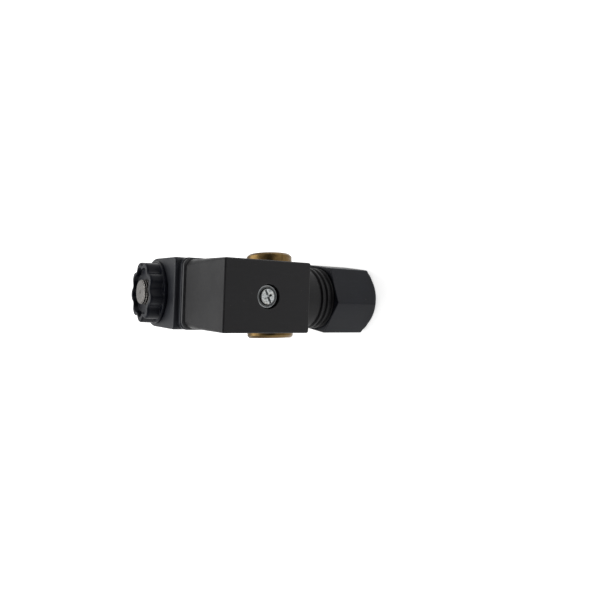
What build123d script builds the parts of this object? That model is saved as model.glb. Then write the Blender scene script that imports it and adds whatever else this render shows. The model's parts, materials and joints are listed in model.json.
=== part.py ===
"""Direct-acting solenoid valve, 2/2-way, normally closed, with a square plug-in connector.

Frame: the origin is the centre of the flat underside of the brass body. +Z runs up the
armature tube to the retaining knob, the ports lie along X, and the connector looks along -Y.
The coil, the connector and the knob are drawn square to the frame and are turned about Z
together when they are written. All sizes are in millimetres.
"""

import os

from build123d import *

# ---------------------------------------------------------------- gaps between pieces
fixed_gap = 0.05  # radial gap of pieces that are pressed, brazed or potted together
running_gap = 0.08  # radial gap of pieces that turn or slide on each other
seat_gap = 0.05  # gap between stacked flat faces
thread_gap = 0.10  # radial gap between a thread's crest and the smooth bore around it

# ---------------------------------------------------------------- brass body
port_span = 40.0  # face to face
port_height = 12.0  # port axis above the underside
port_boss_r = 10.9
port_thread_r = 6.58  # G 1/4 pipe thread, major radius
port_depth = 10.5
boss_chamfer = 1.0
mouth_chamfer = 0.7
block_x = 25.0
block_y = 25.0
block_corner_r = 3.0
deck_rise = 12.0  # from the port axis to the deck, where the tube base sits
deck_chamfer = 0.8
orifice_r = 2.0
seat_ring_wall = 1.0
seat_ring_slope = 0.8
seat_ring_height = 1.2
chamber_floor_rise = 3.0  # from the port axis to the chamber floor
chamber_side_gap = 1.1  # between the plunger's tube and the chamber wall
port_roof = 0.92  # brass between the port thread and the tube base's thread
inlet_hole_r = 1.4
outlet_hole_r = 2.2
outlet_hole_drop = 0.4  # below the port axis

# ---------------------------------------------------------------- tube assembly
hex_rim = 2.0  # hexagon beyond its thread
hex_height = 3.4
base_thread_wall = 2.5  # from the tube to the crest of the base thread
base_shank_length = 4.0
base_ring_section = 1.2  # O-ring under the hexagon
tube_r = 6.5
tube_wall = 0.6
tube_short = 0.4  # how far the tube stays below the coil's top
core_rise = 22.0  # from the deck to the fixed core's face
stud_r = 5.25
stud_above_knob = 0.2
stud_chamfer = 0.5
centre_hole_r = 0.9
centre_hole_depth = 1.2
shading_ring_r = 4.4
shading_ring_wall = 0.9
shading_ring_depth = 1.2

# ---------------------------------------------------------------- plunger
stroke = 2.0
plunger_nose = 0.7  # how far the plunger's rim stands above the seat plane
seal_disc_rim = 0.6  # seal disc beyond the seat ring
seal_disc_thickness = 2.2
spring_pocket_gap = 0.3
spring_pocket_depth = 12.0
spring_r = 2.2
wire_r = 0.25
spring_turns = 7

# ---------------------------------------------------------------- coil
coil_turn = -5.6  # degrees, coil and connector about the tube
coil_width = 29.5
coil_height = 41.0
coil_front = 20.4  # from the tube axis to the front of the main block
coil_back_centre = 2.0  # the back is round about this line
coil_edge_r = 0.8
coil_corner_r = 1.4
seat_front = 22.7  # from the tube axis to the connector seat
seat_margin = 0.75  # seat beyond the connector's rear, each side
seat_height = 38.6
seat_corner_r = 3.2
coil_seal_gap = 1.0  # between the tube and the seal
coil_seal_wall = 2.0
coil_seal_thickness = 0.8
yoke_wall = 1.2  # plastic over the yoke
yoke_plate = 2.5
yoke_strap = 2.65
strap_gap = 0.3  # between the bobbin and the yoke's sides
yoke_half_depth = 9.0
bobbin_wall = 0.95
bobbin_flange = 1.2
winding_inset = 0.2  # winding inside the bobbin's flanges
blade_thickness = 0.8
blade_width = 6.3
blade_reach = 10.5  # in front of the seat
blade_root = 4.5  # inside the coil

# ---------------------------------------------------------------- connector
connector_drop = 1.45  # from the coil's middle down to the screw axis
seat_rise = 0.7  # from the screw axis up to the seat's middle
connector_width = 27.1  # at the front face
connector_height = 36.9
connector_flare = 0.4  # how much wider each side is at the rear
connector_depth = 34.1
connector_front_r = 0.9
connector_rear_r = 3.4
connector_edge_r = 0.75
housing_wall = 2.1
gasket_thickness = 1.2
gasket_margin = 0.45  # gasket beyond the connector's rear, each side
gasket_height = 38.0
screw_recess_r = 4.7
screw_recess_depth = 2.6
pillar_r = 3.6
pillar_head_r = 6.6
pillar_head_length = 4.6
screw_r = 1.5
screw_hole_r = 1.7
screw_head_r = 3.1
screw_head_height = 1.5
screw_tip = 5.5  # into the coil
drive_slot = (5.4, 0.8, 0.7)  # length, width, depth
drive_cross = (3.4, 0.9, 1.1)
drive_turn = 25.0  # degrees, the slot from the X axis
cup_washer_r = 4.2
cup_washer_height = 1.2
cup_washer_floor = 0.4
insert_clearance = 0.2
insert_below = 11.0  # from the screw axis
insert_above = 15.5
insert_corner_r = 1.2
socket_wall = 0.55  # plastic outside a socket
socket_thickness = 3.4
socket_width = 7.8
socket_depth = 10.0
blade_clearance = 0.12
blade_tip_gap = 0.7
clamp_hole_floor = 0.4
clamp_screw_r = 1.25
clamp_screw_length = 3.6
clamp_head_r = 2.3
clamp_head_height = 1.5

# ---------------------------------------------------------------- cable gland
thread_root_r = 12.0
thread_height = 0.8
neck_length = 9.0  # smooth, above the thread
thread_length = 22.0
neck_setback = 0.3  # neck in front of the connector's rear face
neck_step = 0.2  # smooth neck beyond the thread's root
neck_wall = 2.5
grommet_pocket = 9.0  # depth of the grommet's pocket in the neck
cable_bore_r = 7.5
gland_nut_wall = 0.9  # at the middle of a flat
gland_nut_engaged = 13.0  # length of thread inside the nut
gland_nut_length = 22.4
gland_nut_lip = 3.4
gland_nut_turn = -6.0  # degrees, a corner of the nut from straight ahead
gland_nut_rounding = 2.6
gland_nut_end_inset = 0.6  # end circle inside the flats
gland_washer_thickness = 1.0
gland_washer_bore_r = 7.0
grommet_bore_r = 5.0
grommet_length = 12.0

# ---------------------------------------------------------------- retaining knob
knob_r = 13.3
knob_height = 7.1
knob_flange = 1.4
knob_lobes = 9
knob_turn = -3.0  # degrees, one hollow from the X axis
scallop_r = 3.2
scallop_depth = 1.8
lobe_round = 1.0
knob_edge_r = 0.7
dish_rim = 1.5
dish_floor_r = 6.4
dish_depth = 1.1
knob_seal_inset = 2.6
knob_seal_wall = 2.0
knob_seal_thickness = 1.1

# ---------------------------------------------------------------- worked-out places
deck_z = port_height + deck_rise
chamber_floor_z = port_height + chamber_floor_rise
seat_z = chamber_floor_z + seat_ring_height
chamber_top_z = port_height + port_thread_r + port_roof
outlet_hole_z = port_height - outlet_hole_drop
seat_ring_r = orifice_r + seat_ring_wall
seal_disc_r = seat_ring_r + seal_disc_rim
tube_bore_r = tube_r - tube_wall
chamber_r = tube_bore_r + chamber_side_gap
base_thread_r = tube_r + base_thread_wall
core_bottom_z = deck_z + core_rise
coil_bottom_z = deck_z + hex_height + seat_gap
coil_top_z = coil_bottom_z + coil_height
tube_top_z = coil_top_z - tube_short
knob_bottom_z = coil_top_z + seat_gap
knob_top_z = knob_bottom_z + knob_height
plunger_bottom_z = seat_z + plunger_nose
plunger_top_z = core_bottom_z - stroke
plunger_r = tube_bore_r - running_gap
coil_bore_r = tube_r + running_gap
coil_seal_in_r = tube_r + coil_seal_gap
coil_seal_r = coil_seal_in_r + coil_seal_wall
half_coil = coil_width / 2
bobbin_bottom_z = coil_bottom_z + yoke_wall + yoke_plate
bobbin_top_z = coil_top_z - yoke_wall - yoke_plate
bobbin_in_r = coil_bore_r + 2 * fixed_gap
barrel_r = bobbin_in_r + bobbin_wall
bobbin_r = half_coil - yoke_wall - yoke_strap - strap_gap
connector_z = coil_bottom_z + coil_height / 2 - connector_drop
connector_bottom_z = connector_z - connector_height / 2
rear_width = connector_width + 2 * connector_flare
rear_height = connector_height + 2 * connector_flare
rear_y = -(seat_front + seat_gap + gasket_thickness + seat_gap)
front_y = rear_y - connector_depth
recess_floor_y = front_y + screw_recess_depth
cavity_width = connector_width - 2 * housing_wall
cavity_height = connector_height - 2 * housing_wall
insert_width = cavity_width - 2 * insert_clearance
insert_rear_y = rear_y - insert_clearance
insert_front_y = -(seat_front + blade_reach + blade_tip_gap + clamp_hole_floor + clamp_screw_length)
insert_depth = insert_rear_y - insert_front_y
blade_offset = insert_width / 2 - socket_wall - socket_thickness / 2
neck_r = thread_root_r + neck_step
gland_y = neck_r + neck_setback - rear_y
thread_crest_r = thread_root_r + thread_height
thread_top_z = connector_bottom_z - neck_length
neck_bottom_z = thread_top_z - thread_length
neck_bore_r = thread_root_r - neck_wall
shelf_z = neck_bottom_z + grommet_pocket
nut_bore_r = thread_crest_r + thread_gap
nut_flat_r = nut_bore_r + gland_nut_wall
gland_nut_top_z = neck_bottom_z + gland_nut_engaged
gland_nut_bottom_z = gland_nut_top_z - gland_nut_length
lip_z = gland_nut_bottom_z + gland_nut_lip
gland_axis = Axis((0, -gland_y, 0), (0, 0, 1))
knob_seal_r = knob_r - knob_seal_inset
terminals = {
    "line": (-blade_offset, 0.0, (1, 0, 0)),
    "neutral": (blade_offset, 0.0, (1, 0, 0)),
    "earth": (0.0, blade_offset, (0, 0, 1)),
}  # across, up, and the direction through the blade's thickness


# ---------------------------------------------------------------- shared outlines
def section(points, plane=Plane.XZ):
    """A closed outline through the given corners, on a plane."""
    with BuildSketch(plane) as outline:
        with BuildLine():
            Polyline(*points, close=True)
        make_face()
    return outline.sketch


def facing(y, z=connector_z):
    """A plane that looks along -Y from y, with X across and Z up from z."""
    return Plane(origin=(0, y, z), x_dir=(1, 0, 0), z_dir=(0, -1, 0))


def ring(outer_r, inner_r, bottom_z, top_z, axis_y=0.0):
    """A plain ring about a line that is parallel to Z."""
    with BuildPart() as plain:
        with BuildSketch(Plane(origin=(0, axis_y, bottom_z))):
            Circle(outer_r)
            Circle(inner_r, mode=Mode.SUBTRACT)
        extrude(amount=top_z - bottom_z)
    return plain.part


def coil_outline(inset, z):
    """The coil seen from above: straight sides and front, and a half-round back."""
    half = half_coil - inset
    front = -coil_front + inset
    with BuildSketch(Plane.XY.offset(z)) as outline:
        with Locations((0, (front + coil_back_centre) / 2)):
            Rectangle(2 * half, coil_back_centre - front)
        with Locations((0, coil_back_centre)):
            Circle(half)
    return outline.sketch


def yoke_solid(gap):
    """The steel frame round the winding, without its bore, grown by a gap on every side."""
    inside = (bobbin_bottom_z + gap, bobbin_top_z - gap)
    outside = (bobbin_bottom_z - yoke_plate - gap, bobbin_top_z + yoke_plate + gap)
    half_out = half_coil - yoke_wall + gap
    half_in = bobbin_r + strap_gap - gap
    with BuildPart() as frame:
        with BuildSketch(Plane.XZ.offset(-yoke_half_depth - gap)):
            with Locations((0, sum(outside) / 2)):
                Rectangle(2 * half_out, outside[1] - outside[0])
                Rectangle(2 * half_in, inside[1] - inside[0], mode=Mode.SUBTRACT)
        extrude(amount=2 * (yoke_half_depth + gap))
        extrude(coil_outline(yoke_wall - gap, coil_bottom_z), amount=coil_height, mode=Mode.INTERSECT)
    return frame.part


def terminal_places(y):
    """Name and facing plane of each terminal, centred on its blade."""
    for name, (across, up, through) in terminals.items():
        yield name, Plane(origin=(across, y, connector_z + up), x_dir=through, z_dir=(0, -1, 0))


# ---------------------------------------------------------------- brass body
with BuildPart() as valve_body:
    with BuildSketch():
        RectangleRounded(block_x, block_y, block_corner_r)
    extrude(amount=deck_z)
    chamfer(valve_body.faces().sort_by(Axis.Z)[-1].edges(), deck_chamfer)
    with BuildSketch(Plane.YZ.offset(-port_span / 2)):
        with Locations((0, port_height)):
            Circle(port_boss_r)
    extrude(amount=port_span)
    boss_ends = valve_body.faces().sort_by(Axis.X)
    chamfer(boss_ends[0].edges() + boss_ends[-1].edges(), boss_chamfer)
    for side in (-1, 1):
        mouth = Plane(origin=(side * port_span / 2, 0, port_height), z_dir=(-side, 0, 0))
        with BuildSketch(mouth):
            Circle(port_thread_r)
        extrude(amount=port_depth, mode=Mode.SUBTRACT)
        with BuildSketch(mouth):
            Circle(port_thread_r + mouth_chamfer)
        extrude(amount=mouth_chamfer, taper=45, mode=Mode.SUBTRACT)
    groove_floor_z = deck_z - base_ring_section - 0.1
    groove_r = base_thread_r + base_ring_section + 0.2
    chamber = section(
        [
            (0, outlet_hole_z),
            (orifice_r, outlet_hole_z),
            (orifice_r, seat_z),
            (seat_ring_r, seat_z),
            (seat_ring_r + seat_ring_slope, chamber_floor_z),
            (chamber_r, chamber_floor_z),
            (chamber_r, chamber_top_z),
            (base_thread_r, chamber_top_z),
            (base_thread_r, groove_floor_z),
            (groove_r, groove_floor_z),
            (groove_r, deck_z),
            (0, deck_z),
        ]
    )
    revolve(chamber, axis=Axis.Z, mode=Mode.SUBTRACT)
    inlet_hole_z = chamber_floor_z + inlet_hole_r + 0.1
    bore_end_x = port_span / 2 - port_depth
    with BuildSketch(Plane.YZ.offset(-bore_end_x - 0.1)):
        with Locations((0, inlet_hole_z)):
            Circle(inlet_hole_r)
    extrude(amount=bore_end_x - chamber_r + 1.0, mode=Mode.SUBTRACT)
    with BuildSketch(Plane.YZ):
        with Locations((0, outlet_hole_z)):
            Circle(outlet_hole_r)
    extrude(amount=bore_end_x + 0.1, mode=Mode.SUBTRACT)

# ---------------------------------------------------------------- tube assembly
with BuildPart() as tube_base:
    with BuildSketch(Plane.XY.offset(deck_z)):
        RegularPolygon(base_thread_r + hex_rim, 6, major_radius=False)
    extrude(amount=hex_height)
    with BuildSketch(Plane.XY.offset(deck_z - base_shank_length)):
        Circle(base_thread_r - fixed_gap)
    extrude(amount=base_shank_length)
    with BuildSketch(Plane.XY.offset(deck_z - base_shank_length)):
        Circle(tube_r + fixed_gap)
    extrude(amount=base_shank_length + hex_height, mode=Mode.SUBTRACT)

with BuildPart() as base_o_ring:
    with BuildSketch(Plane.XZ):
        with Locations((base_thread_r + 0.1 + base_ring_section / 2, deck_z - 0.1 - base_ring_section / 2)):
            Circle(base_ring_section / 2)
    revolve(axis=Axis.Z)

with BuildPart() as armature_tube:
    add(ring(tube_r, tube_bore_r, deck_z - base_shank_length, tube_top_z))

core_r = tube_bore_r - fixed_gap
core_ring_r = shading_ring_r + fixed_gap
core_ring_in_r = shading_ring_r - shading_ring_wall - fixed_gap
stud_top_z = knob_top_z + stud_above_knob
with BuildPart() as fixed_core:
    revolve(
        section(
            [
                (0, core_bottom_z),
                (core_ring_in_r, core_bottom_z),
                (core_ring_in_r, core_bottom_z + shading_ring_depth + fixed_gap),
                (core_ring_r, core_bottom_z + shading_ring_depth + fixed_gap),
                (core_ring_r, core_bottom_z),
                (core_r, core_bottom_z),
                (core_r, tube_top_z),
                (stud_r, tube_top_z),
                (stud_r, stud_top_z - stud_chamfer),
                (stud_r - stud_chamfer, stud_top_z),
                (centre_hole_r, stud_top_z),
                (0, stud_top_z - centre_hole_depth),
            ]
        ),
        axis=Axis.Z,
    )

with BuildPart() as shading_ring:
    ring_in_r = shading_ring_r - shading_ring_wall
    add(ring(shading_ring_r, ring_in_r, core_bottom_z, core_bottom_z + shading_ring_depth))

# ---------------------------------------------------------------- plunger
disc_bottom_z = seat_z + seat_gap
disc_top_z = disc_bottom_z + seal_disc_thickness
pocket_floor_z = plunger_top_z - spring_pocket_depth
spring_pocket_r = spring_r + wire_r + spring_pocket_gap
with BuildPart() as plunger:
    revolve(
        section(
            [
                (0, disc_top_z + fixed_gap),
                (seal_disc_r + fixed_gap, disc_top_z + fixed_gap),
                (seal_disc_r + fixed_gap, plunger_bottom_z),
                (plunger_r - 0.6, plunger_bottom_z),
                (plunger_r, plunger_bottom_z + 0.6),
                (plunger_r, plunger_top_z),
                (spring_pocket_r, plunger_top_z),
                (spring_pocket_r, pocket_floor_z),
                (0, pocket_floor_z),
            ]
        ),
        axis=Axis.Z,
    )
    for side in (-1, 1):
        with BuildSketch(Plane.XY.offset(plunger_bottom_z)):
            with Locations((side * plunger_r, 0)):
                Rectangle(1.2, 1.6)
        extrude(amount=plunger_top_z - plunger_bottom_z, mode=Mode.SUBTRACT)

with BuildPart() as plunger_seal:
    with BuildSketch(Plane.XY.offset(disc_bottom_z)):
        Circle(seal_disc_r)
    extrude(amount=seal_disc_thickness)

spring_bottom_z = pocket_floor_z + wire_r + seat_gap
spring_top_z = core_bottom_z - wire_r - seat_gap
spring_length = spring_top_z - spring_bottom_z
with BuildPart() as return_spring:
    with BuildLine() as coil_line:
        Helix(spring_length / spring_turns, spring_length, spring_r, center=(0, 0, spring_bottom_z))
    with BuildSketch(Plane(origin=coil_line.line @ 0, z_dir=coil_line.line % 0)):
        Circle(wire_r)
    sweep(path=coil_line.line, is_frenet=True)

# ---------------------------------------------------------------- coil
with BuildPart() as coil_shell:
    extrude(coil_outline(0, coil_bottom_z), amount=coil_height)
    front_corners = coil_shell.edges().filter_by(Axis.Z).group_by(Axis.Y)[0]
    fillet(front_corners, coil_corner_r)
    ends = coil_shell.faces().sort_by(Axis.Z)
    fillet(ends[0].edges() + ends[-1].edges(), coil_edge_r)
    with BuildSketch(facing(-coil_front + 1.0, connector_z + seat_rise)):
        RectangleRounded(rear_width + 2 * seat_margin, seat_height, seat_corner_r)
    extrude(amount=seat_front - coil_front + 1.0)
    seat_face = coil_shell.faces().sort_by(Axis.Y)[0]
    fillet(seat_face.edges(), 0.3)
    add(yoke_solid(fixed_gap), mode=Mode.SUBTRACT)
    with BuildSketch(Plane.XY.offset(bobbin_bottom_z)):
        Circle(bobbin_r + fixed_gap)
    extrude(amount=bobbin_top_z - bobbin_bottom_z, mode=Mode.SUBTRACT)
    with BuildSketch(Plane.XY.offset(coil_bottom_z)):
        Circle(coil_bore_r)
    extrude(amount=coil_height, mode=Mode.SUBTRACT)
    seal_groove = ring(
        coil_seal_r + running_gap,
        coil_seal_in_r - running_gap,
        coil_bottom_z,
        coil_bottom_z + coil_seal_thickness,
    )
    add(seal_groove, mode=Mode.SUBTRACT)
    for name, place in terminal_places(-seat_front + blade_root):
        with BuildSketch(place):
            Rectangle(blade_thickness + 2 * fixed_gap, blade_width + 2 * fixed_gap)
        extrude(amount=blade_root, mode=Mode.SUBTRACT)
    with BuildSketch(facing(-seat_front + screw_tip + 0.5)):
        Circle(screw_r + thread_gap)
    extrude(amount=screw_tip + 0.5, mode=Mode.SUBTRACT)

with BuildPart() as coil_seal:
    hex_top_z = deck_z + hex_height
    add(ring(coil_seal_r, coil_seal_in_r, hex_top_z, hex_top_z + coil_seal_thickness))

with BuildPart() as yoke_frame:
    add(yoke_solid(0.0))
    with BuildSketch(Plane.XY.offset(coil_bottom_z)):
        Circle(bobbin_in_r)
    extrude(amount=coil_height, mode=Mode.SUBTRACT)

with BuildPart() as coil_bobbin:
    revolve(
        section(
            [
                (bobbin_in_r, bobbin_bottom_z + fixed_gap),
                (bobbin_r, bobbin_bottom_z + fixed_gap),
                (bobbin_r, bobbin_bottom_z + bobbin_flange),
                (barrel_r, bobbin_bottom_z + bobbin_flange),
                (barrel_r, bobbin_top_z - bobbin_flange),
                (bobbin_r, bobbin_top_z - bobbin_flange),
                (bobbin_r, bobbin_top_z - fixed_gap),
                (bobbin_in_r, bobbin_top_z - fixed_gap),
            ]
        ),
        axis=Axis.Z,
    )

with BuildPart() as coil_winding:
    wound_bottom_z = bobbin_bottom_z + bobbin_flange + fixed_gap
    wound_top_z = bobbin_top_z - bobbin_flange - fixed_gap
    add(ring(bobbin_r - winding_inset, barrel_r + fixed_gap, wound_bottom_z, wound_top_z))

blades = {}
for name, place in terminal_places(-seat_front + blade_root - fixed_gap):
    with BuildPart() as blade:
        with BuildSketch(place):
            Rectangle(blade_thickness, blade_width)
        extrude(amount=blade_root - fixed_gap + blade_reach)
        tip = blade.faces().sort_by(Axis.Y)[0]
        chamfer(tip.edges().sort_by(SortBy.LENGTH)[:2], 0.25 * blade_thickness)
    blades[f"{name}_blade"] = blade

# ---------------------------------------------------------------- connector
with BuildPart() as connector_gasket:
    with BuildSketch(facing(-seat_front - seat_gap, connector_z + seat_rise)):
        RectangleRounded(rear_width + 2 * gasket_margin, gasket_height, seat_corner_r)
        with Locations((0, -seat_rise)):
            Circle(screw_hole_r, mode=Mode.SUBTRACT)
    extrude(amount=gasket_thickness)
    for name, place in terminal_places(-seat_front):
        with BuildSketch(place):
            Rectangle(blade_thickness + 2 * blade_clearance, blade_width + 2 * blade_clearance)
        extrude(amount=gasket_thickness + 2 * seat_gap, mode=Mode.SUBTRACT)

with BuildPart() as connector_housing:
    with BuildSketch(facing(rear_y)):
        RectangleRounded(rear_width, rear_height, connector_rear_r)
    with BuildSketch(facing(front_y)):
        RectangleRounded(connector_width, connector_height, connector_front_r)
    loft()
    fillet(connector_housing.faces().sort_by(Axis.Y)[0].edges(), connector_edge_r)
    with BuildSketch(Plane(origin=(0, -gland_y, neck_bottom_z))):
        Circle(thread_root_r)
    extrude(amount=thread_top_z - neck_bottom_z)
    with BuildSketch(Plane(origin=(0, -gland_y, thread_top_z))):
        Circle(neck_r)
    extrude(amount=connector_bottom_z + housing_wall - thread_top_z)
    with BuildSketch(facing(rear_y)):
        RectangleRounded(cavity_width, cavity_height, insert_corner_r + insert_clearance)
    extrude(amount=connector_depth - housing_wall, mode=Mode.SUBTRACT)
    with BuildSketch(facing(front_y + housing_wall + pillar_head_length)):
        Circle(pillar_head_r)
    extrude(amount=pillar_head_length)
    with BuildSketch(facing(insert_front_y - seat_gap)):
        Circle(pillar_r)
    extrude(amount=insert_front_y - seat_gap - front_y - housing_wall)
    with BuildSketch(facing(insert_front_y)):
        Circle(screw_hole_r)
    extrude(amount=insert_front_y - front_y, mode=Mode.SUBTRACT)
    with BuildSketch(facing(recess_floor_y)):
        Circle(screw_recess_r)
    extrude(amount=screw_recess_depth, mode=Mode.SUBTRACT)
    with BuildSketch(Plane(origin=(0, -gland_y, neck_bottom_z))):
        Circle(neck_bore_r)
    extrude(amount=shelf_z - neck_bottom_z, mode=Mode.SUBTRACT)
    with BuildSketch(Plane(origin=(0, -gland_y, shelf_z))):
        Circle(cable_bore_r)
    extrude(amount=connector_bottom_z + housing_wall + 1.0 - shelf_z, mode=Mode.SUBTRACT)

with BuildPart() as terminal_insert:
    insert_z = connector_z + (insert_above - insert_below) / 2
    with BuildSketch(facing(insert_rear_y, insert_z)):
        RectangleRounded(insert_width, insert_above + insert_below, insert_corner_r)
    extrude(amount=insert_depth)
    with BuildSketch(facing(insert_rear_y)):
        Circle(screw_hole_r)
    extrude(amount=insert_depth, mode=Mode.SUBTRACT)
    for name, place in terminal_places(insert_rear_y):
        with BuildSketch(place):
            Rectangle(blade_thickness + 2 * blade_clearance, blade_width + 2 * blade_clearance)
        extrude(amount=insert_depth, mode=Mode.SUBTRACT)
    for name, place in terminal_places(insert_front_y + socket_depth + fixed_gap):
        with BuildSketch(place):
            Rectangle(socket_thickness + 2 * fixed_gap, socket_width + 2 * fixed_gap)
        extrude(amount=socket_depth + fixed_gap, mode=Mode.SUBTRACT)

sockets = {}
for name, place in terminal_places(insert_front_y + socket_depth):
    with BuildPart() as socket:
        with BuildSketch(place):
            Rectangle(socket_thickness, socket_width)
        extrude(amount=socket_depth)
        with BuildSketch(place):
            Rectangle(blade_thickness + 2 * blade_clearance, blade_width + 2 * blade_clearance)
        slot_depth = socket_depth - clamp_screw_length - clamp_hole_floor
        extrude(amount=slot_depth, mode=Mode.SUBTRACT)
        with BuildSketch(place.offset(socket_depth)):
            Circle(clamp_screw_r + thread_gap)
        extrude(amount=-clamp_screw_length - 0.1, mode=Mode.SUBTRACT)
    sockets[f"{name}_socket"] = socket

with BuildPart() as clamp_screws:
    for name, place in terminal_places(insert_front_y + clamp_screw_length):
        with BuildSketch(place):
            Circle(clamp_screw_r)
        extrude(amount=clamp_screw_length + seat_gap)
        with BuildSketch(place.offset(clamp_screw_length + seat_gap)):
            Circle(clamp_head_r)
        extrude(amount=clamp_head_height)
        with BuildSketch(place.offset(clamp_screw_length + seat_gap + clamp_head_height)):
            Rectangle(2 * clamp_head_r + 1, 0.7)
        extrude(amount=-0.8, mode=Mode.SUBTRACT)

head_seat_y = recess_floor_y - cup_washer_floor - 2 * seat_gap
with BuildPart() as connector_screw:
    with BuildSketch(facing(-seat_front + screw_tip)):
        Circle(screw_r)
    extrude(amount=-head_seat_y - seat_front + screw_tip)
    with BuildSketch(facing(head_seat_y)):
        Circle(screw_head_r)
    extrude(amount=screw_head_height)
    head_top = connector_screw.faces().sort_by(Axis.Y)[0]
    fillet(head_top.edges(), 0.6)
    for length, width, depth in (drive_slot, drive_cross):
        with BuildSketch(facing(head_seat_y - screw_head_height)):
            Rectangle(length, width, rotation=drive_turn)
        extrude(amount=-depth, mode=Mode.SUBTRACT)
    with BuildSketch(facing(head_seat_y - screw_head_height)):
        Rectangle(drive_cross[1], drive_cross[0], rotation=drive_turn)
    extrude(amount=-drive_cross[2], mode=Mode.SUBTRACT)

with BuildPart() as screw_washer:
    cup_floor_y = recess_floor_y - seat_gap
    with BuildSketch(facing(cup_floor_y)):
        Circle(cup_washer_r)
        Circle(screw_r + running_gap, mode=Mode.SUBTRACT)
    extrude(amount=cup_washer_height)
    with BuildSketch(facing(cup_floor_y - cup_washer_floor)):
        Circle(screw_head_r + running_gap)
    extrude(amount=cup_washer_height - cup_washer_floor, mode=Mode.SUBTRACT)

# ---------------------------------------------------------------- cable gland
with BuildPart() as gland_nut:
    nut_plane = Plane(origin=(0, -gland_y, gland_nut_bottom_z)).rotated((0, 0, gland_nut_turn))
    with BuildSketch(nut_plane):
        RegularPolygon(nut_flat_r, 6, major_radius=False, rotation=30)
    extrude(amount=gland_nut_length)
    beyond_r = nut_flat_r * 1.2
    revolve(
        section(
            [
                (0, gland_nut_bottom_z),
                (nut_flat_r - gland_nut_end_inset, gland_nut_bottom_z),
                (beyond_r, gland_nut_bottom_z + gland_nut_rounding),
                (beyond_r, gland_nut_top_z),
                (0, gland_nut_top_z),
            ],
            Plane.XZ.offset(gland_y),
        ),
        axis=gland_axis,
        mode=Mode.INTERSECT,
    )
    with BuildSketch(Plane(origin=(0, -gland_y, lip_z))):
        Circle(nut_bore_r)
    extrude(amount=gland_nut_length, mode=Mode.SUBTRACT)
    with BuildSketch(Plane(origin=(0, -gland_y, gland_nut_bottom_z))):
        Circle(cable_bore_r)
    extrude(amount=gland_nut_lip, mode=Mode.SUBTRACT)
    mouth_edge = gland_nut.edges().filter_by(GeomType.CIRCLE).group_by(Axis.Z)[0].sort_by(SortBy.RADIUS)[0]
    fillet(mouth_edge, 0.8)

with BuildPart() as gland_washer:
    washer_bottom_z = lip_z + seat_gap
    washer_top_z = washer_bottom_z + gland_washer_thickness
    add(ring(thread_root_r - 0.4, gland_washer_bore_r, washer_bottom_z, washer_top_z, -gland_y))

with BuildPart() as gland_grommet:
    grommet_bottom_z = washer_top_z + seat_gap
    grommet_r = neck_bore_r - running_gap
    add(ring(grommet_r, grommet_bore_r, grommet_bottom_z, grommet_bottom_z + grommet_length, -gland_y))
    chamfer(gland_grommet.faces().sort_by(Axis.Z)[-1].edges().sort_by(SortBy.RADIUS)[-1], 1.2)

# ---------------------------------------------------------------- retaining knob
with BuildPart() as coil_knob:
    with BuildSketch(Plane.XY.offset(knob_bottom_z)):
        Circle(knob_r)
    extrude(amount=knob_flange)
    with BuildSketch(Plane.XY.offset(knob_bottom_z + knob_flange)) as lobed:
        Circle(knob_r)
        with PolarLocations(knob_r - scallop_depth + scallop_r, knob_lobes, start_angle=knob_turn):
            Circle(scallop_r, mode=Mode.SUBTRACT)
        fillet(lobed.vertices(), lobe_round)
    extrude(amount=knob_height - knob_flange)
    fillet(coil_knob.faces().sort_by(Axis.Z)[-1].edges(), knob_edge_r)
    dish_z = knob_top_z - dish_depth
    dish = section([(0, dish_z), (dish_floor_r, dish_z), (knob_r - dish_rim, knob_top_z), (0, knob_top_z)])
    revolve(dish, axis=Axis.Z, mode=Mode.SUBTRACT)
    with BuildSketch(Plane.XY.offset(knob_bottom_z)):
        Circle(stud_r + running_gap)
    extrude(amount=knob_height, mode=Mode.SUBTRACT)
    seal_groove = ring(
        knob_seal_r + running_gap,
        knob_seal_r - knob_seal_wall - running_gap,
        knob_bottom_z,
        knob_bottom_z + knob_seal_thickness,
    )
    add(seal_groove, mode=Mode.SUBTRACT)

with BuildPart() as knob_seal:
    seal_bottom_z = coil_top_z + 0.4 * seat_gap
    add(ring(knob_seal_r, knob_seal_r - knob_seal_wall, seal_bottom_z, seal_bottom_z + knob_seal_thickness))

# ---------------------------------------------------------------- files
square_pieces = {
    "valve_body": valve_body,
    "tube_base": tube_base,
    "base_o_ring": base_o_ring,
    "armature_tube": armature_tube,
    "fixed_core": fixed_core,
    "shading_ring": shading_ring,
    "plunger": plunger,
    "plunger_seal": plunger_seal,
    "return_spring": return_spring,
    "coil_seal": coil_seal,
}
turned_pieces = {
    "coil_shell": coil_shell,
    "yoke_frame": yoke_frame,
    "coil_bobbin": coil_bobbin,
    "coil_winding": coil_winding,
    **blades,
    "connector_gasket": connector_gasket,
    "connector_housing": connector_housing,
    "terminal_insert": terminal_insert,
    **sockets,
    "clamp_screws": clamp_screws,
    "connector_screw": connector_screw,
    "screw_washer": screw_washer,
    "gland_nut": gland_nut,
    "gland_washer": gland_washer,
    "gland_grommet": gland_grommet,
    "coil_knob": coil_knob,
    "knob_seal": knob_seal,
}
os.makedirs("parts", exist_ok=True)
for label, piece in square_pieces.items():
    piece.part.label = label
    export_step(piece.part, f"parts/{label}.step")
for label, piece in turned_pieces.items():
    solid = piece.part.rotate(Axis.Z, coil_turn)
    solid.label = label
    export_step(solid, f"parts/{label}.step")
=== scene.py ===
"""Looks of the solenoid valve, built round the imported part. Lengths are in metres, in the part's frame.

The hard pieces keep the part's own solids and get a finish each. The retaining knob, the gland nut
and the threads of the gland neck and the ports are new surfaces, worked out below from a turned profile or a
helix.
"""
import json
import math

import bpy
import numpy as np
from mathutils import Matrix, Vector


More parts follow.
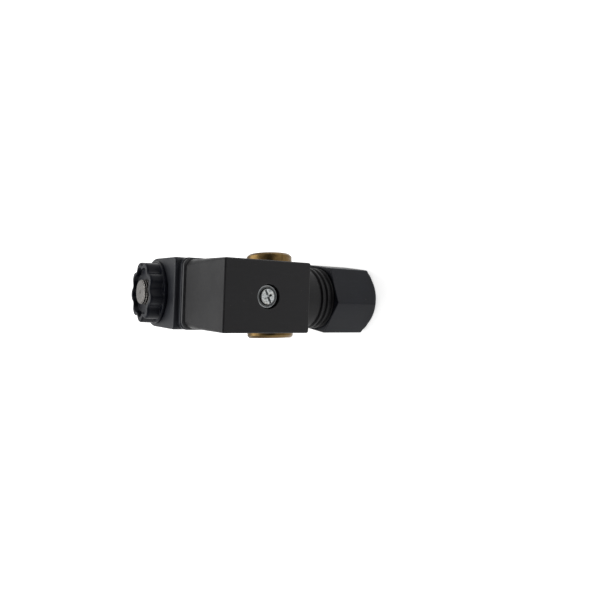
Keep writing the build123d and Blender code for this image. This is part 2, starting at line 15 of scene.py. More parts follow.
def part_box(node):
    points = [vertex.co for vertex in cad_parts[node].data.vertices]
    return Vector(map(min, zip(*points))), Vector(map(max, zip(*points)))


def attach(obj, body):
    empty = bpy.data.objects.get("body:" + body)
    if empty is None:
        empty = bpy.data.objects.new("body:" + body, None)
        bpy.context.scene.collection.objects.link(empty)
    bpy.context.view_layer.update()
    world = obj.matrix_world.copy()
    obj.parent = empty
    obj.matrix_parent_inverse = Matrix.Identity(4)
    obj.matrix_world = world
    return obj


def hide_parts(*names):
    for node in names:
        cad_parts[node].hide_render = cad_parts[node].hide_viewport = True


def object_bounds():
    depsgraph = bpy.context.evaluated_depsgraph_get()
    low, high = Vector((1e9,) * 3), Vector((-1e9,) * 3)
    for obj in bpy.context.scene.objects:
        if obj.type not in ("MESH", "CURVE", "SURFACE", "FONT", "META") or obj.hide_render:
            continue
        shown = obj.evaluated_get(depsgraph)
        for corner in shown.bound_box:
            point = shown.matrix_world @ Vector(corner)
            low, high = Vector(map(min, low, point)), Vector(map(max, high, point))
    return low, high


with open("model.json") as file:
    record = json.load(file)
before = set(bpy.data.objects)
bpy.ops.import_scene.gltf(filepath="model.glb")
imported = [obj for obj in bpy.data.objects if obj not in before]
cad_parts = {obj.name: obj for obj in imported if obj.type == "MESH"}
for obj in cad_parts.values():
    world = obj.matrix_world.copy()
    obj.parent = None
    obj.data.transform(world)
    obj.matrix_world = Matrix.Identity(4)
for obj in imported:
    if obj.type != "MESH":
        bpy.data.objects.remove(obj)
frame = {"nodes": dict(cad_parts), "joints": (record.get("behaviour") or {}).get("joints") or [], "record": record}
cad_box = [list(corner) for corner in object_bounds()]

MM = 0.001
joints = {joint["name"]: joint for joint in frame["joints"]}
outwards = Vector(joints["connector_pull"]["axis"])
coil_turn = math.atan2(outwards.x, -outwards.y)
gland_axis = joints["gland_turn"]["pos_m"]
screw_axis = joints["screw_turn"]["pos_m"]


# ---------------------------------------------------------------- camera
CAMERA_DISTANCE = 0.2207
CAMERA_RAISED = math.radians(30.4)
CAMERA_ASIDE = math.radians(-0.14)
CAMERA_ROLL = math.radians(-88.0)
CAMERA_LENS = 36.32
SENSOR = 36.0
AIM_ACROSS = -0.0458  # where the connector's middle lands, as shares of the view's width from its centre
AIM_UP = -0.0011


def add_camera():
    """Looks at the middle of the connector's front, from the front and above, rolled on its side."""
    aim = outwards * front_reach() + Vector((0, 0, screw_axis[2]))
    side, raised = CAMERA_ASIDE, CAMERA_RAISED
    level = math.cos(raised)
    square = Vector((-math.sin(side) * level, -math.cos(side) * level, math.sin(raised)))
    back = Matrix.Rotation(coil_turn, 3, "Z") @ square
    turn = back.to_track_quat("Z", "Y").to_matrix() @ Matrix.Rotation(CAMERA_ROLL, 3, "Z")
    share = CAMERA_LENS / SENSOR
    towards = Vector((AIM_ACROSS, AIM_UP, -share)).normalized()
    nudge = Vector((0, 0, -1)).rotation_difference(towards).to_matrix()
    camera = bpy.data.objects.new("camera", bpy.data.cameras.new("camera"))
    bpy.context.scene.collection.objects.link(camera)
    camera.matrix_world = (turn @ nudge.inverted()).to_4x4()
    camera.location = aim + back * CAMERA_DISTANCE
    camera.data.lens = CAMERA_LENS
    camera.data.sensor_width = SENSOR
    camera.data.clip_start = 0.01
    bpy.context.scene.camera = camera


def front_reach():
    """How far the connector's front face lies from the tube's axis."""
    points = np.empty(len(frame["nodes"]["connector_housing"].data.vertices) * 3)
    frame["nodes"]["connector_housing"].data.vertices.foreach_get("co", points)
    return float((points.reshape(-1, 3) @ np.array(outwards)).max())


# ---------------------------------------------------------------- surfaces
def surface(name, grid, finish, body, capped=False):
    """Makes a piece from rows of points that close on themselves along each row.

    Row joins row by quads. Uncapped, the last row joins the first, as on a turned ring. Capped, the
    two end rows are filled, as on a thread. The faces are turned so that the volume, a sixth of the
    sum of a . (b x c) over its triangles, is positive, which points them outwards.
    """
    rows, columns = grid.shape[:2]
    ids = np.arange(rows * columns).reshape(rows, columns)
    ids = np.concatenate([ids, ids[:, :1]], axis=1)
    if not capped:
        ids = np.concatenate([ids, ids[:1]], axis=0)
    quads = np.stack([ids[:-1, :-1], ids[:-1, 1:], ids[1:, 1:], ids[1:, :-1]], axis=-1).reshape(-1, 4)
    points = grid.reshape(-1, 3)
    a, b, c, d = (points[quads[:, k]] - points.mean(axis=0) for k in range(4))
    volume = (a * np.cross(b, c)).sum() + (a * np.cross(c, d)).sum()
    faces = quads.tolist()
    if capped:
        faces += [ids[0, :columns][::-1].tolist(), ids[-1, :columns].tolist()]
    if volume < 0:
        faces = [face[::-1] for face in faces]
    mesh = bpy.data.meshes.new(name)
    mesh.from_pydata(points.tolist(), [], faces)
    mesh.shade_smooth()
    mesh.set_sharp_from_angle(angle=math.radians(38))
    mesh.materials.append(finish)
    piece = bpy.data.objects.new(name, mesh)
    bpy.context.scene.collection.objects.link(piece)
    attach(piece, body)
    return piece


def rounded(corners, steps=6):
    """Rounds each corner of a closed outline.

    A corner is its numbers and, last, its cut. The round is the curve (1-s)^2 A + 2s(1-s) P + s^2 B
    from A to B, the points at the cut's distance from the corner P along its two sides.
    """
    corners = np.array(corners, float)
    places, cuts = corners[:, :-1], corners[:, -1:]
    before = np.roll(places, 1, axis=0) - places
    after = np.roll(places, -1, axis=0) - places
    start = places + before / np.linalg.norm(before[:, :2], axis=1, keepdims=True) * cuts
    end = places + after / np.linalg.norm(after[:, :2], axis=1, keepdims=True) * cuts
    s = np.linspace(0, 1, steps)[None, :, None]
    curve = (1 - s) ** 2 * start[:, None] + 2 * s * (1 - s) * places[:, None] + s**2 * end[:, None]
    return curve.reshape(-1, places.shape[1])


def smooth_step(value, low, high):
    """0 below low, 1 above high, and 3t^2 - 2t^3 between them."""
    t = np.clip((value - low) / (high - low), 0, 1)
    return t * t * (3 - 2 * t)


def soft_min(a, b, blend):
    """-blend log(exp(-a/blend) + exp(-b/blend)), the lesser of two values with a rounded join."""
    return -blend * np.logaddexp(-a / blend, -b / blend)


def swept(radius, height, angle, centre):
    """Points at a radius and a height round a line parallel to Z through a centre."""
    across = centre[0] + radius * np.cos(angle)
    along = centre[1] + radius * np.sin(angle)
    return np.stack([across, along, np.broadcast_to(height, across.shape)], axis=-1)


KNOB_LOBES = 9
KNOB_HOLLOW = math.radians(-3.0)  # one hollow from the coil's X axis
KNOB_HOLLOW_DEPTH = 1.75 * MM
KNOB_FLANGE = 1.35 * MM
KNOB_DISH = 2.2 * MM
KNOB_RIM = 2.5 * MM
STUD_BORE = 5.33 * MM
KNOB_SEAL_PLAY = 0.08 * MM  # between the seal and its groove's outer wall
KNOB_SEAL_GROOVE = 2.16 * MM  # the groove's width
KNOB_SEAL_ROOF = 0.05 * MM  # between the seal and its groove's roof
CRISP = 0.05 * MM  # the cut of an edge that is left nearly sharp


def add_knob(finish):
    """The lobed knob: a turned profile whose radius shrinks in the hollows.

    With h = ((1 + cos(9 (angle - hollow))) / 2)^1.5, the radius loses depth x h above the flange, and
    less and less towards the dish, so the hollows bite into the rim and fade in the dish.
    """
    low, high = (np.array(corner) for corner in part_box("coil_knob"))
    outer, tall = (high[0] - low[0]) / 2, high[2] - low[2]
    seal_low, seal_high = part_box("knob_seal")
    seal_outer = (seal_high[0] - seal_low[0]) / 2 + KNOB_SEAL_PLAY
    seal_inner = seal_outer - KNOB_SEAL_GROOVE
    seal_top = seal_high[2] - low[2] + KNOB_SEAL_ROOF
    body_r = outer - 0.2 * MM
    dish = tall - KNOB_DISH
    profile = rounded(
        [
            (STUD_BORE, 0, 0.1 * MM),
            (seal_inner, 0, CRISP),
            (seal_inner, seal_top, CRISP),
            (seal_outer, seal_top, CRISP),
            (seal_outer, 0, CRISP),
            (outer, 0, 0.25 * MM),
            (outer, KNOB_FLANGE, 0.25 * MM),
            (body_r, KNOB_FLANGE + 0.1 * MM, 0.08 * MM),
            (body_r, KNOB_FLANGE + 0.5 * MM, 0.15 * MM),
            (body_r - 0.15 * MM, tall, 1.2 * MM),
            (outer - KNOB_RIM, tall, 0.35 * MM),
            (outer - KNOB_RIM - 0.7 * MM, dish + 0.1 * MM, 0.6 * MM),
            (STUD_BORE + 1.2 * MM, dish, 0.5 * MM),
            (STUD_BORE, dish, 0.12 * MM),
        ]
    )
    radius, height = profile[:, :1], profile[:, 1:]
    angle = np.linspace(0, 2 * np.pi, 360, endpoint=False)[None, :]
    hollow = ((1 + np.cos(KNOB_LOBES * (angle - KNOB_HOLLOW - coil_turn))) / 2) ** 1.5
    share = smooth_step(height, KNOB_FLANGE + 0.05 * MM, KNOB_FLANGE + 0.4 * MM)
    share = share * smooth_step(radius, 0.66 * outer, 0.9 * outer)
    grid = swept(radius - KNOB_HOLLOW_DEPTH * hollow * share, height + low[2], angle, (0, 0))
    piece = surface("retaining_knob", grid, finish, "knob")
    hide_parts("coil_knob")


NUT_FLAT = 13.8 * MM  # from the nut's axis to a flat
NUT_BORE = 12.9 * MM
NUT_MOUTH = 7.5 * MM
NUT_LIP = 3.4 * MM
NUT_TURN = math.radians(-6.0)  # one corner from straight ahead
NUT_END = 13.2 * MM  # radius of the rounded end
NUT_END_SLOPE = 1.15  # how far the end's cone opens for each length up the nut
NUT_END_BLEND = 0.14 * MM
HEXAGON_POWER = 90  # the higher, the sharper the hexagon's corners


def add_gland_nut(finish):
    """The hexagon nut: a turned profile whose outside follows a hexagon with rounded corners.

    The hexagon is flat / (sum over its three directions of |cos(angle - direction)|^p)^(1/p), and the
    end is rounded by the soft lesser of that and a cone.
    """
    low, high = (np.array(corner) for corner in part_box("gland_nut"))
    tall = high[2] - low[2]
    profile = rounded(
        [
            (NUT_MOUTH, 0, 0, 0.7 * MM),
            (NUT_FLAT, 0, 1, 0.2 * MM),
            *((NUT_FLAT, rise * MM, 1, 0.1 * MM) for rise in (1.2, 2.4, 3.6)),
            (NUT_FLAT, tall, 1, 0.3 * MM),
            (NUT_BORE, tall, 0, 0.25 * MM),
            (NUT_BORE, NUT_LIP, 0, 0.2 * MM),
            (NUT_MOUTH, NUT_LIP, 0, 0.3 * MM),
        ],
        steps=8,
    )
    radius, height, follows = profile[:, :1], profile[:, 1:2], profile[:, 2:]
    angle = np.linspace(0, 2 * np.pi, 720, endpoint=False)[None, :]
    corner = coil_turn + NUT_TURN - np.pi / 2
    turns = [angle - corner - np.pi / 6 - k * np.pi / 3 for k in range(3)]
    flats = [np.abs(np.cos(turn)) ** HEXAGON_POWER for turn in turns]
    hexagon = NUT_FLAT * sum(flats) ** (-1 / HEXAGON_POWER)
    cone = NUT_END + height * NUT_END_SLOPE
    outside = soft_min(radius + follows * (hexagon - NUT_FLAT), cone, NUT_END_BLEND)
    grid = swept(outside, height + low[2], angle, gland_axis)
    piece = surface("gland_hex_nut", grid, finish, "gland")
    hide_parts("gland_nut")


def thread(root, crest, pitch, length, crest_share=0.3, steps=72):
    """A thread's ridge round the Z axis, standing from root to crest, as rows of eight points.

    A row at turn t lies at angle 2 pi t and height pitch x t. The ridge rises over its first turn and
    falls over its last by the smooth step, and its foot is sunk a tenth of its height into the root.
    """
    turns = length / pitch
    turn = np.linspace(0, turns, int(turns * steps))[:, None]
    rise = np.array([-0.1, 0.0, 0.92, 1.0, 1.0, 0.92, 0.0, -0.1])[None, :]
    flank = crest_share / 2
    spread = np.array([-0.48, -0.46, -flank - 0.05, -flank, flank, flank + 0.05, 0.46, 0.48])[None, :]
    grown = smooth_step(turn, 0, 0.8) * smooth_step(turns - turn, 0, 0.8)
    height = np.where(rise > 0, rise * grown, rise)
    radius = root + (crest - root) * height
    angle = 2 * np.pi * turn
    lift = pitch * (turn + spread * np.where(rise > 0, 0.4 + 0.6 * grown, 1))
    return np.stack([radius * np.cos(angle), radius * np.sin(angle), lift * np.ones_like(radius)], axis=-1)


NECK_CREST = 12.84 * MM
NECK_GROOVE = 1.0 * MM
NECK_INSIDE = 11.7 * MM
NECK_PITCH = 2.5 * MM
NECK_RUN_OUT = 18.4 * MM  # height at which the groove has run out
NECK_START = math.radians(60)
NECK_FOOT = 0.05 * MM  # how far the sleeve starts above the neck's lower end
NECK_RISE = 4.0 * MM  # how far the sleeve's top lies above the brass body


def add_neck_thread(finish):
    """The gland neck: a sleeve with a helical groove that runs out below its smooth part.

    At a height and an angle, t = height / pitch - angle / 2 pi is how many pitches the point lies along
    the groove, and f = 2 |t - round(t)| is 0 in the groove's middle and 1 on the crest. The groove is
    1 - smooth step of f deep, and fades out over the last third of a pitch before its run-out.
    """
    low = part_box("connector_housing")[0][2] + NECK_FOOT
    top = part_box("valve_body")[1][2] + NECK_RISE
    height = np.linspace(low, top, 300)[:, None]
    angle = np.linspace(0, 2 * np.pi, 200, endpoint=False)[None, :]
    along = height / NECK_PITCH - (angle - NECK_START) / (2 * np.pi)
    middle = NECK_PITCH * (np.round(along) + (angle - NECK_START) / (2 * np.pi))
    groove = 1 - smooth_step(2 * np.abs(along - np.round(along)), 0.25, 0.8)
    groove = groove * (1 - smooth_step(middle, NECK_RUN_OUT - NECK_PITCH / 3, NECK_RUN_OUT))
    outer = NECK_CREST - NECK_GROOVE * groove
    inner = np.full((1, angle.shape[1]), NECK_INSIDE)
    radius = np.concatenate([outer, inner, inner])
    height = np.concatenate([height, height[-1:], height[:1]])
    grid = swept(radius, height, angle, gland_axis)
    surface("gland_neck", grid, finish, "connector")


PORT_WALL = 6.58 * MM
PORT_CREST = 5.75 * MM
PORT_PITCH = 1.337 * MM
PORT_THREAD = 8.8 * MM
PORT_LEAD_IN = 0.9 * MM  # how far inside the mouth the thread starts


def add_port_threads(finish):
    """The pipe thread inside each port, standing inwards from the port's wall."""
    low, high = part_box("valve_body")
    port_height = record_mount("outlet_port")["pos_m"][2]
    ridge = thread(PORT_WALL, PORT_CREST, PORT_PITCH, PORT_THREAD, crest_share=0.12)
    for name, side, mouth in (("inlet", -1, low[0]), ("outlet", 1, high[0])):
        depth = mouth - side * (ridge[..., 2] + PORT_LEAD_IN)
        grid = np.stack([depth, side * ridge[..., 0], ridge[..., 1] + port_height], axis=-1)
        surface(f"{name}_port_thread", grid, finish, "valve", capped=True)


def record_mount(name):
    """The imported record's mount of that name."""
    return next(mount for mount in frame["record"]["mounts"] if mount["name"] == name)


# ---------------------------------------------------------------- finishes
class Finish:
    """One procedural finish, with short calls for the nodes that it is made of."""

    def __init__(self, name, colour, roughness, metallic=0.0, specular=0.5):
        self.material = bpy.data.materials.new(name)
        self.material.use_nodes = True
        self.nodes = self.material.node_tree.nodes
        self.links = self.material.node_tree.links
        self.shader = self.nodes["Principled BSDF"]
        self.shader.inputs["Metallic"].default_value = metallic
        self.shader.inputs["Specular IOR Level"].default_value = specular
        self.place = self.nodes.new("ShaderNodeTexCoord").outputs["Object"]
        self.colour = self.constant_colour(colour)
        self.roughness = self.value(roughness)
        self.normal = None

    def put(self, socket, source):
        """Links a socket, or sets its value where the source is a plain number or colour."""
        if isinstance(source, bpy.types.NodeSocket):
            self.links.new(source, socket)
        else:
            socket.default_value = source

    def constant_colour(self, colour):
        node = self.nodes.new("ShaderNodeRGB")
        node.outputs[0].default_value = (*colour, 1)
        return node.outputs[0]

    def value(self, number):
        node = self.nodes.new("ShaderNodeValue")
        node.outputs[0].default_value = number
        return node.outputs[0]

    def moved(self, centre=(0, 0, 0), turn=(0, 0, 0), scale=(1, 1, 1)):
        """The object's coordinates, taken from a centre, turned and stretched."""
        shift = self.nodes.new("ShaderNodeVectorMath")
        shift.operation = "SUBTRACT"
        self.put(shift.inputs[0], self.place)
        shift.inputs[1].default_value = centre
        mapping = self.nodes.new("ShaderNodeMapping")
        mapping.inputs["Rotation"].default_value = turn
        mapping.inputs["Scale"].default_value = scale
        self.put(mapping.inputs["Vector"], shift.outputs[0])
        return mapping.outputs[0]

    def noise(self, size, detail=4.0, place=None, roughness=0.55, warp=0.0):
        """Noise whose blotches are about size across."""
        node = self.nodes.new("ShaderNodeTexNoise")
        self.put(node.inputs["Vector"], place or self.place)
        node.inputs["Scale"].default_value = 1 / size
        node.inputs["Detail"].default_value = detail
        node.inputs["Roughness"].default_value = roughness
        node.inputs["Distortion"].default_value = warp
        return node.outputs[0]

    def cells(self, size, place=None):
        """Distance to the nearest of scattered points about size apart, and a colour for each point."""
        node = self.nodes.new("ShaderNodeTexVoronoi")
        self.put(node.inputs["Vector"], place or self.place)
        node.inputs["Scale"].default_value = 1 / size
        return node.outputs["Distance"], node.outputs["Color"]

    def maths(self, operation, a, b=0.0):
        node = self.nodes.new("ShaderNodeMath")
        node.operation = operation
        self.put(node.inputs[0], a)
        self.put(node.inputs[1], b)
        return node.outputs[0]

    def graded(self, value, low, high, to_low=0.0, to_high=1.0):
        """The value from low to high, eased and stretched to a new range."""
        node = self.nodes.new("ShaderNodeMapRange")
        node.interpolation_type = "SMOOTHSTEP"
        for socket, number in zip(node.inputs[:5], (value, low, high, to_low, to_high)):
            self.put(socket, number)
        return node.outputs[0]

    def axis_value(self, axis, place=None):
        node = self.nodes.new("ShaderNodeSeparateXYZ")
        self.put(node.inputs[0], place or self.place)
        return node.outputs["XYZ".index(axis)]

    def distance(self, a, b):
        """sqrt(a^2 + b^2)."""
        squares = self.maths("ADD", self.maths("MULTIPLY", a, a), self.maths("MULTIPLY", b, b))
        return self.maths("SQRT", squares)

    def ripples(self, value, pitch):
        """A wave from 0 to 1 with one crest for each pitch of the value."""
        wave = self.maths("SINE", self.maths("MULTIPLY", value, 2 * math.pi / pitch))
        return self.graded(wave, -1.0, 1.0)

    def tint(self, colour, factor):
        """Mixes a colour over the present one by a factor."""
        node = self.nodes.new("ShaderNodeMix")
        node.data_type = "RGBA"
        self.put(node.inputs["Factor"], factor)
        self.put(node.inputs[6], self.colour)
        self.put(node.inputs[7], (*colour, 1))
        self.colour = node.outputs[2]

    def rougher(self, amount):
        self.roughness = self.maths("ADD", self.roughness, amount)

    def relief(self, height, depth, strength=1.0):
        """Raises the surface by depth where the height is 1."""
        node = self.nodes.new("ShaderNodeBump")
        node.inputs["Strength"].default_value = strength
        node.inputs["Distance"].default_value = depth
        self.put(node.inputs["Height"], height)
        if self.normal is not None:
            self.put(node.inputs["Normal"], self.normal)
        self.normal = node.outputs[0]

    def edges(self, radius):
        """Softens the edges' shading over a radius, and gives 1 on an edge and 0 on a flat."""
        bevel = self.nodes.new("ShaderNodeBevel")
        bevel.samples = 6
        bevel.inputs["Radius"].default_value = radius
        plain = self.nodes.new("ShaderNodeNewGeometry")
        dot = self.nodes.new("ShaderNodeVectorMath")
        dot.operation = "DOT_PRODUCT"
        self.put(dot.inputs[0], bevel.outputs[0])
        self.put(dot.inputs[1], plain.outputs["Normal"])
        self.normal = bevel.outputs[0]
        return self.graded(dot.outputs["Value"], 0.995, 0.88)

    def finished(self):
        """Joins the colour, roughness and relief to the shader, and gives the material."""
        self.put(self.shader.inputs["Base Color"], self.colour)
        limited = self.graded(self.roughness, 0.0, 1.0, 0.0, 1.0)
        limited.node.interpolation_type = "LINEAR"
        self.put(self.shader.inputs["Roughness"], limited)
        if self.normal is not None:
            self.put(self.shader.inputs["Normal"], self.normal)
        return self.material


def moulded_plastic(name, colour, roughness, grain, grain_depth, edge_wear_and_highlight, flow=0.0, specular=0.25):
    """Black moulded plastic: cloudy tone, eroded grain, flow streaks, fine scuffs, dust, and worn edges that are
    lightened partly as a painted edge highlight.
    """
    finish = Finish(name, colour, roughness, specular=specular)
    edge = finish.edges(0.3 * MM)
    cloud = finish.noise(9 * MM, detail=3)
    lighter = tuple(2.1 * part + 0.004 for part in colour)
    finish.tint(lighter, finish.graded(cloud, 0.35, 0.75, 0.0, 0.35))
    streak_place = finish.moved(turn=(0.1, 0.05, -coil_turn), scale=(1, 1, 0.12))
    streak = finish.noise(0.9 * MM, detail=5, place=streak_place, warp=0.6)
    finish.tint(lighter, finish.graded(streak, 0.5, 0.78, 0.0, 0.25 + flow))
    scuff_place = finish.moved(turn=(0.5, 0.9, 0.4), scale=(1, 0.045, 1))
    scuff = finish.graded(finish.noise(0.45 * MM, detail=2, place=scuff_place), 0.67, 0.74)
    patch = finish.graded(finish.noise(6 * MM, detail=2), 0.45, 0.65)
    scuff = finish.maths("MULTIPLY", scuff, patch)
    finish.tint(tuple(3.2 * part + 0.01 for part in colour), finish.maths("MULTIPLY", scuff, 0.45))
    spot, pick = finish.cells(1.5 * MM)
    chosen = finish.graded(finish.axis_value("X", pick), 0.8, 0.82)
    dust = finish.maths("MULTIPLY", finish.graded(spot, 0.09, 0.03), chosen)
    finish.tint((0.16, 0.155, 0.145), finish.maths("MULTIPLY", dust, 0.55))
    # The lighter edges are partly wear and partly a painted highlight where a rounded edge would catch the light.
    chip = finish.graded(finish.noise(0.5 * MM, detail=3), 0.4, 0.6, 0.35, 1.0)
    edge_wear_and_highlight_mask = finish.maths("MULTIPLY", finish.maths("MULTIPLY", edge, chip), edge_wear_and_highlight)
    finish.tint((0.14, 0.14, 0.145), edge_wear_and_highlight_mask)
    finish.rougher(finish.graded(cloud, 0.3, 0.7, -0.05, 0.06))
    finish.rougher(finish.maths("MULTIPLY", scuff, -0.12))
    finish.rougher(finish.maths("MULTIPLY", edge, -0.1))
    pebble = finish.noise(grain, detail=3, roughness=0.6)
    finish.relief(pebble, grain_depth)
    finish.relief(streak, 0.012 * MM * (0.4 + flow))
    finish.relief(scuff, -0.004 * MM)
    return finish.finished()


def forged_brass():
    """Brass: pebbled where it is forged, ringed where it is turned, browned in blotches and in the bores."""
    finish = Finish("forged_brass", (0.145, 0.092, 0.034), 0.3, metallic=1.0)
    edge = finish.edges(0.2 * MM)
    port_height = record_mount("outlet_port")["pos_m"][2]
    across = finish.axis_value("X")
    above = finish.maths("SUBTRACT", finish.axis_value("Z"), port_height)
    out = finish.distance(finish.axis_value("Y"), above)
    turned = finish.graded(finish.maths("ABSOLUTE", across), 12.2 * MM, 12.9 * MM)
    tarnish = finish.noise(5 * MM, detail=6, warp=0.8)
    finish.tint((0.06, 0.036, 0.015), finish.graded(tarnish, 0.42, 0.75, 0.0, 0.75))
    fine = finish.noise(0.7 * MM, detail=4)
    finish.tint((0.11, 0.072, 0.032), finish.graded(fine, 0.5, 0.72, 0.0, 0.5))
    bore = finish.graded(out, 7.3 * MM, 6.2 * MM)
    finish.tint((0.08, 0.05, 0.022), finish.maths("MULTIPLY", bore, 0.6))
    finish.tint((0.28, 0.205, 0.105), finish.maths("MULTIPLY", edge, 0.45))
    tool = finish.maths("ADD", across, finish.maths("MULTIPLY", out, 1.0))
    rings = finish.maths("MULTIPLY", finish.ripples(tool, 0.21 * MM), turned)
    chatter = finish.noise(0.3 * MM, detail=3, place=finish.moved(scale=(1, 0.08, 0.08)))
    finish.rougher(finish.graded(tarnish, 0.4, 0.75, -0.03, 0.2))
    finish.rougher(finish.maths("MULTIPLY", rings, 0.06))
    cast = finish.maths("MULTIPLY", finish.noise(0.35 * MM, detail=4), finish.maths("SUBTRACT", 1.0, turned))
    finish.relief(cast, 0.05 * MM)
    finish.relief(rings, 0.005 * MM)
    finish.relief(chatter, 0.006 * MM)
    return finish.finished()


def turned_steel(name, colour, roughness, thread_pitch=0.0, thread_floor=0.0):
    """Bright steel turned about Z, with fine rings on its ends and lines on its sides.

    A thread pitch adds a shallow thread to the sides above the thread's floor.
    """
    finish = Finish(name, colour, roughness, metallic=1.0)
    edge = finish.edges(0.15 * MM)
    out = finish.distance(finish.axis_value("X"), finish.axis_value("Y"))
    tall = finish.axis_value("Z")
    rings = finish.ripples(finish.maths("ADD", out, tall), 0.17 * MM)
    smudge = finish.noise(2.5 * MM, detail=5, warp=0.5)
    finish.tint(tuple(0.55 * part for part in colour), finish.graded(smudge, 0.45, 0.75, 0.0, 0.55))
    spread = finish.noise(0.6 * MM, detail=3)
    finish.tint(tuple(0.7 * part for part in colour), finish.graded(spread, 0.5, 0.75, 0.0, 0.45))
    finish.tint((0.9, 0.9, 0.88), finish.maths("MULTIPLY", edge, 0.3))
    finish.rougher(finish.graded(smudge, 0.4, 0.7, -0.04, 0.14))
    finish.relief(rings, 0.004 * MM)
    if thread_pitch:
        side = finish.graded(out, 5.1 * MM, 5.2 * MM)
        side = finish.maths("MULTIPLY", side, finish.graded(tall, thread_floor, thread_floor + 0.2 * MM))
        finish.relief(finish.maths("MULTIPLY", finish.ripples(tall, thread_pitch), side), 0.35 * MM)
    return finish.finished()


def zinc_plate():
    """Zinc-plated steel: bluish, dulled in blotches, with painted shade in the cup round the screw's head."""
    finish = Finish("zinc_plate", (0.40, 0.42, 0.425), 0.36, metallic=1.0)
    edge = finish.edges(0.1 * MM)
    cast = finish.noise(1.3 * MM, detail=3)
    finish.tint((0.42, 0.38, 0.30), finish.graded(cast, 0.48, 0.7, 0.0, 0.5))
    dull = finish.noise(0.45 * MM, detail=5)
    finish.tint((0.10, 0.108, 0.11), finish.graded(dull, 0.45, 0.72, 0.0, 0.75))
    finish.tint((0.6, 0.61, 0.62), finish.maths("MULTIPLY", edge, 0.4))
    flat = finish.moved(centre=screw_axis, turn=(0, 0, -coil_turn))
    out = finish.distance(finish.axis_value("X", flat), finish.axis_value("Z", flat))
    inside = finish.graded(out, 4.0 * MM, 3.75 * MM)
    # Painted shade: the cup round the screw's head is darkened where its recess would lie in shadow.
    painted_cup_shade = finish.maths("MULTIPLY", finish.graded(out, 2.75 * MM, 3.1 * MM), inside)
    finish.tint((0.02, 0.021, 0.022), finish.maths("MULTIPLY", painted_cup_shade, 0.9))
    rim = finish.graded(out, 3.8 * MM, 4.0 * MM)
    finish.tint((0.17, 0.175, 0.18), finish.maths("MULTIPLY", rim, 0.8))
    finish.rougher(finish.graded(dull, 0.4, 0.7, -0.05, 0.2))
    finish.relief(finish.noise(0.12 * MM, detail=3), 0.006 * MM)
    return finish.finished()


def plain_metal(name, colour, roughness, stretch):
    """Drawn or stamped metal: lines along one way, blotched by handling."""
    finish = Finish(name, colour, roughness, metallic=1.0)
    edge = finish.edges(0.1 * MM)
    lines = finish.noise(0.12 * MM, detail=3, place=finish.moved(turn=(0, 0, -coil_turn), scale=stretch))
    blotch = finish.noise(2 * MM, detail=4)
    finish.tint(tuple(0.6 * part for part in colour), finish.graded(blotch, 0.45, 0.75, 0.0, 0.6))
    finish.tint((0.9, 0.88, 0.82), finish.maths("MULTIPLY", edge, 0.3))
    finish.rougher(finish.graded(blotch, 0.4, 0.7, -0.05, 0.15))
    finish.relief(lines, 0.004 * MM)
    return finish.finished()


def wound_wire():
    """Enamelled copper wire, one ridge for each turn of the winding, with painted shade in the grooves between
    turns.
    """
    finish = Finish("wound_wire", (0.55, 0.20, 0.08), 0.3, metallic=1.0)
    ridges = finish.ripples(finish.axis_value("Z"), 0.28 * MM)
    # Painted shade: the grooves between the turns are darkened.
    finish.tint((0.2, 0.06, 0.02), finish.graded(ridges, 0.5, 0.0, 0.0, 0.7))
    blotch = finish.noise(2 * MM, detail=3)
    finish.tint((0.65, 0.27, 0.12), finish.graded(blotch, 0.45, 0.7, 0.0, 0.5))
    finish.relief(ridges, 0.08 * MM)
    return finish.finished()


def moulded_rubber():
    """Black rubber: matt, bloomed pale in clouds, with a fine pebble."""
    finish = Finish("moulded_rubber", (0.035, 0.036, 0.038), 0.62, specular=0.35)
    edge = finish.edges(0.2 * MM)
    bloom = finish.noise(2.2 * MM, detail=5)
    finish.tint((0.095, 0.095, 0.1), finish.graded(bloom, 0.4, 0.75, 0.0, 0.6))
    finish.tint((0.16, 0.16, 0.165), finish.maths("MULTIPLY", edge, 0.5))
    finish.rougher(finish.graded(bloom, 0.4, 0.7, -0.06, 0.1))
    finish.relief(finish.noise(0.15 * MM, detail=3), 0.01 * MM)
    return finish.finished()


def pale_floor():
    """A plain near-white floor with the faintest mottling."""
    finish = Finish("pale_floor", (0.6, 0.6, 0.6), 0.8, specular=0.1)
    finish.tint((0.58, 0.58, 0.575), finish.graded(finish.noise(0.08, detail=3), 0.4, 0.7))
    finish.shader.inputs["Emission Color"].default_value = (1, 1, 1, 1)
    finish.shader.inputs["Emission Strength"].default_value = 0.74
    return finish.finished()


# ---------------------------------------------------------------- stage
FLOOR_HALF = 3.0
SQUARE = ((-1, -1), (1, -1), (1, 1), (-1, 1))  # corners of a square round zero


def add_floor(finish):
    """A wide flat floor just under the lowest point of the part."""
    level = cad_box[0][2] - 0.1 * MM
    corners = [(x * FLOOR_HALF, y * FLOOR_HALF, level) for x, y in SQUARE]
    mesh = bpy.data.meshes.new("floor")
    mesh.from_pydata(corners, [], [(0, 1, 2, 3)])
    mesh.materials.append(finish)
    floor = bpy.data.objects.new("floor", mesh)
    bpy.context.scene.collection.objects.link(floor)


def add_light(name, place, width, power, aim=(0, -0.02, 0.035)):
    """A square soft light that looks at the part."""
    light = bpy.data.lights.new(name, "AREA")
    light.size = width
    light.energy = power
    lamp = bpy.data.objects.new(name, light)
    lamp.location = place
    lamp.rotation_euler = (Vector(place) - Vector(aim)).to_track_quat("Z", "Y").to_euler()
    bpy.context.scene.collection.objects.link(lamp)


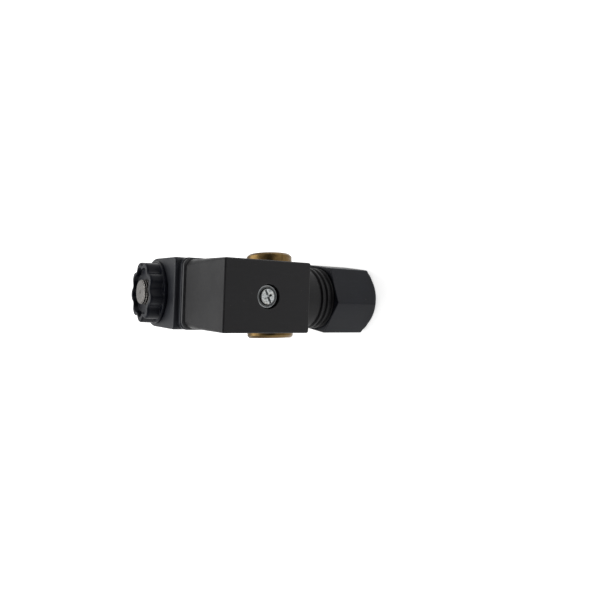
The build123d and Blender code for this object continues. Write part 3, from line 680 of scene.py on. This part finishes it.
def add_dark_card():
    """A black card behind and above the camera, whose reflection keeps the rounded edges dark."""
    finish = Finish("black_card", (0.006, 0.006, 0.006), 0.9, specular=0.05)
    finish.tint((0.01, 0.01, 0.01), finish.graded(finish.noise(0.1, detail=3), 0.4, 0.7))
    middle = Vector((-math.sin(0.1) * 0.75, -0.75, 0.42))
    across, up = Vector((0.55, 0, 0)), Vector((0, 0.17, 0.3))
    corners = [middle + x * across + y * up for x, y in SQUARE]
    mesh = bpy.data.meshes.new("dark_card")
    mesh.from_pydata([tuple(corner) for corner in corners], [], [(0, 1, 2, 3)])
    mesh.materials.append(finish.finished())
    card = bpy.data.objects.new("dark_card", mesh)
    bpy.context.scene.collection.objects.link(card)
    card.visible_camera = False


def add_world(strength):
    world = bpy.data.worlds.new("studio")
    world.use_nodes = True
    back = world.node_tree.nodes["Background"]
    back.inputs["Color"].default_value = (1, 1, 1, 1)
    back.inputs["Strength"].default_value = strength
    bpy.context.scene.world = world


def dress(finishes):
    """Gives every node of the part the finish of its material slot."""
    for part in frame["record"]["subparts"]:
        piece = frame["nodes"][part["node"]]
        for slot in piece.material_slots:
            slot.material = finishes[part["material_slot"]]


add_camera()
bpy.context.scene.view_settings.view_transform = "Standard"
stud_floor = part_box("coil_shell")[1][2]
finishes = {
    "brass": forged_brass(),
    "tube_steel": turned_steel("tube_steel", (0.55, 0.55, 0.54), 0.26),
    "core_steel": turned_steel("core_steel", (0.2, 0.19, 0.18), 0.3, 1.0 * MM, stud_floor),
    "copper": wound_wire(),
    "spring_steel": plain_metal("spring_steel", (0.45, 0.45, 0.47), 0.3, (1, 1, 1)),
    "coil_plastic": moulded_plastic(
        "coil_plastic",
        (0.0098, 0.011, 0.0145),
        0.46,
        0.25 * MM,
        0.02 * MM,
        edge_wear_and_highlight=0.25,
        flow=0.25,
        specular=0.24,
    ),
    "housing_plastic": moulded_plastic(
        "housing_plastic", (0.0054, 0.0052, 0.006), 0.48, 0.2 * MM, 0.022 * MM, edge_wear_and_highlight=0.35, specular=0.21
    ),
    "gland_plastic": moulded_plastic(
        "gland_plastic", (0.0048, 0.0056, 0.0088), 0.42, 0.3 * MM, 0.01 * MM, edge_wear_and_highlight=0.2, specular=0.18
    ),
    "knob_plastic": moulded_plastic(
        "knob_plastic", (0.0022, 0.003, 0.0068), 0.36, 0.35 * MM, 0.01 * MM, edge_wear_and_highlight=0.25, specular=0.17
    ),
    "insert_plastic": moulded_plastic(
        "insert_plastic", (0.07, 0.07, 0.068), 0.5, 0.3 * MM, 0.012 * MM, edge_wear_and_highlight=0.1
    ),
    "rubber_seal": moulded_rubber(),
    "contact_metal": plain_metal("contact_metal", (0.66, 0.62, 0.52), 0.28, (1, 0.06, 1)),
    "zinc": zinc_plate(),
}
dress(finishes)
add_knob(finishes["knob_plastic"])
add_gland_nut(finishes["gland_plastic"])
add_neck_thread(finishes["housing_plastic"])
add_port_threads(finishes["brass"])
add_floor(pale_floor())
add_world(strength=0.66)
add_light("overhead", (-0.05, 0.35, 0.8), width=0.8, power=6.0)
add_dark_card()
